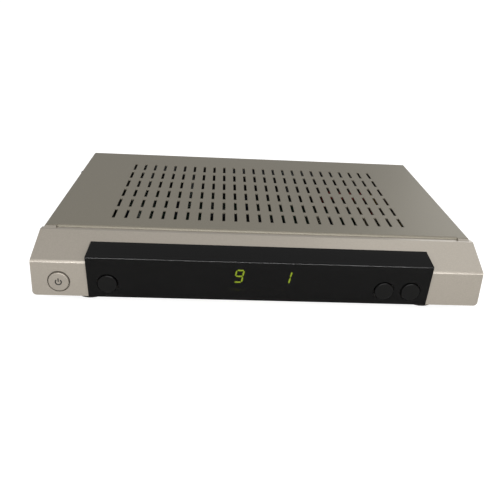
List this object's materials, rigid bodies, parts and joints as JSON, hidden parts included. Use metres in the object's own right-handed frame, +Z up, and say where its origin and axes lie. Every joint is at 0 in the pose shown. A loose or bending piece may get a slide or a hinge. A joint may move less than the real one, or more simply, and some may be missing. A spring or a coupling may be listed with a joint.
{
  "type": "satellite tv receiver",
  "caption": "Low slotted steel case with a sloping silver front, a dark display window, push buttons and rear aerial, scart, phono, serial and mains sockets.",
  "frame": {"origin": "on the floor under the middle of the body's bounding box", "axes": "+X to the right seen from the front, -Y towards the viewer of the front, +Z up"},
  "size_m": [0.28, 0.1922, 0.044],
  "materials": {
    "cover_paint": "fine metallic grey-silver powder coat on sheet steel",
    "zinc_steel": "hot-dip galvanised sheet, faint spangle",
    "foot_rubber": "moulded matt rubber",
    "black_screw": "black zinc on steel",
    "bezel_paint": "satin metallic silver lacquer on moulded ABS",
    "window_black": "polished smoked acrylic, near black",
    "button_black": "satin black moulded ABS",
    "switch_plastic": "moulded nylon",
    "switch_body": "moulded nylon and dark epoxy",
    "green_board": "glass-epoxy board under green solder mask",
    "display_case": "moulded case with epoxy face",
    "lit_segment": "lit yellow-green light bar",
    "cream_nylon": "moulded nylon",
    "ribbon_grey": "grey PVC ribbon",
    "board_screw_zinc": "bright zinc on steel",
    "chip_black": "moulded epoxy",
    "black_anodised": "black anodised extrusion",
    "crystal_steel": "drawn nickel-silver can",
    "capacitor_sleeve": "shrunk PVC sleeve",
    "tin_plate": "tinned sheet steel",
    "nickel_plate": "nickel plate on turned brass",
    "socket_black": "moulded black PBT",
    "white_plastic": "moulded ABS",
    "red_plastic": "moulded ABS",
    "yellow_plastic": "moulded ABS",
    "orange_plastic": "moulded ABS",
    "tan_board": "paper-phenolic board",
    "fuse_glass": "clear glass tube with nickel caps",
    "copper_wire": "enamelled copper wire",
    "film_capacitor": "moulded polypropylene box",
    "ferrite": "pressed and fired ferrite",
    "winding_tape": "polyester tape",
    "plain_aluminium": "bent plain aluminium sheet",
    "harness_wire": "PVC covered wires"
  },
  "bodies": {
    "case": {"top_cover": "cover_paint", "chassis_base": "zinc_steel", "rear_panel": "zinc_steel", "rubber_feet": "foot_rubber", "case_screws": "black_screw", "front_bezel": "bezel_paint", "display_window": "window_black", "tact_switches": "switch_body", "infrared_receiver": "switch_body", "front_board": "green_board", "main_board": "green_board", "display_module": "display_case", "lit_segments": "lit_segment", "ribbon_connectors": "cream_nylon", "harness_connectors": "cream_nylon", "ribbon_cable": "ribbon_grey", "board_screws": "board_screw_zinc", "processor_chip": "chip_black", "memory_chips": "chip_black", "support_chips": "chip_black", "switching_transistor": "chip_black", "processor_heatsink": "black_anodised", "crystal_can": "crystal_steel", "board_capacitors": "capacitor_sleeve", "bulk_capacitor": "capacitor_sleeve", "output_capacitors": "capacitor_sleeve", "tuner_can": "tin_plate", "serial_shell": "tin_plate", "fuse_clips": "tin_plate", "f_connectors": "nickel_plate", "f_connector_nuts": "nickel_plate", "phono_barrels": "nickel_plate", "serial_posts": "nickel_plate", "mains_pins": "nickel_plate", "scart_sockets": "socket_black", "phono_block": "socket_black", "serial_insert": "socket_black", "mains_inlet": "socket_black", "white_phono_collar": "white_plastic", "red_phono_collar": "red_plastic", "yellow_phono_collar": "yellow_plastic", "orange_phono_collar": "orange_plastic", "supply_board": "tan_board", "mains_fuse": "fuse_glass", "line_choke": "copper_wire", "suppression_capacitor": "film_capacitor", "transformer_core": "ferrite", "transformer_winding": "winding_tape", "supply_heatsink": "plain_aluminium", "supply_harness": "harness_wire"},
    "power_key": {"power_button": "bezel_paint", "power_plunger": "switch_plastic"},
    "menu_key": {"menu_button": "button_black", "menu_plunger": "switch_plastic"},
    "channel_down_key": {"channel_down_button": "button_black", "channel_down_plunger": "switch_plastic"},
    "channel_up_key": {"channel_up_button": "button_black", "channel_up_plunger": "switch_plastic"}
  },
  "joints": [
    {"name": "power_press", "type": "slide", "parent": "case", "child": "power_key", "axis": [0, 1, 0], "range_m": [0, 0.0005], "stiffness_N_per_m": 800, "springref_m": -0.0005},
    {"name": "menu_press", "type": "slide", "parent": "case", "child": "menu_key", "axis": [0, 1, 0], "range_m": [0, 0.0005], "stiffness_N_per_m": 800, "springref_m": -0.0005},
    {"name": "channel_down_press", "type": "slide", "parent": "case", "child": "channel_down_key", "axis": [0, 1, 0], "range_m": [0, 0.0005], "stiffness_N_per_m": 800, "springref_m": -0.0005},
    {"name": "channel_up_press", "type": "slide", "parent": "case", "child": "channel_up_key", "axis": [0, 1, 0], "range_m": [0, 0.0005], "stiffness_N_per_m": 800, "springref_m": -0.0005}
  ]
}
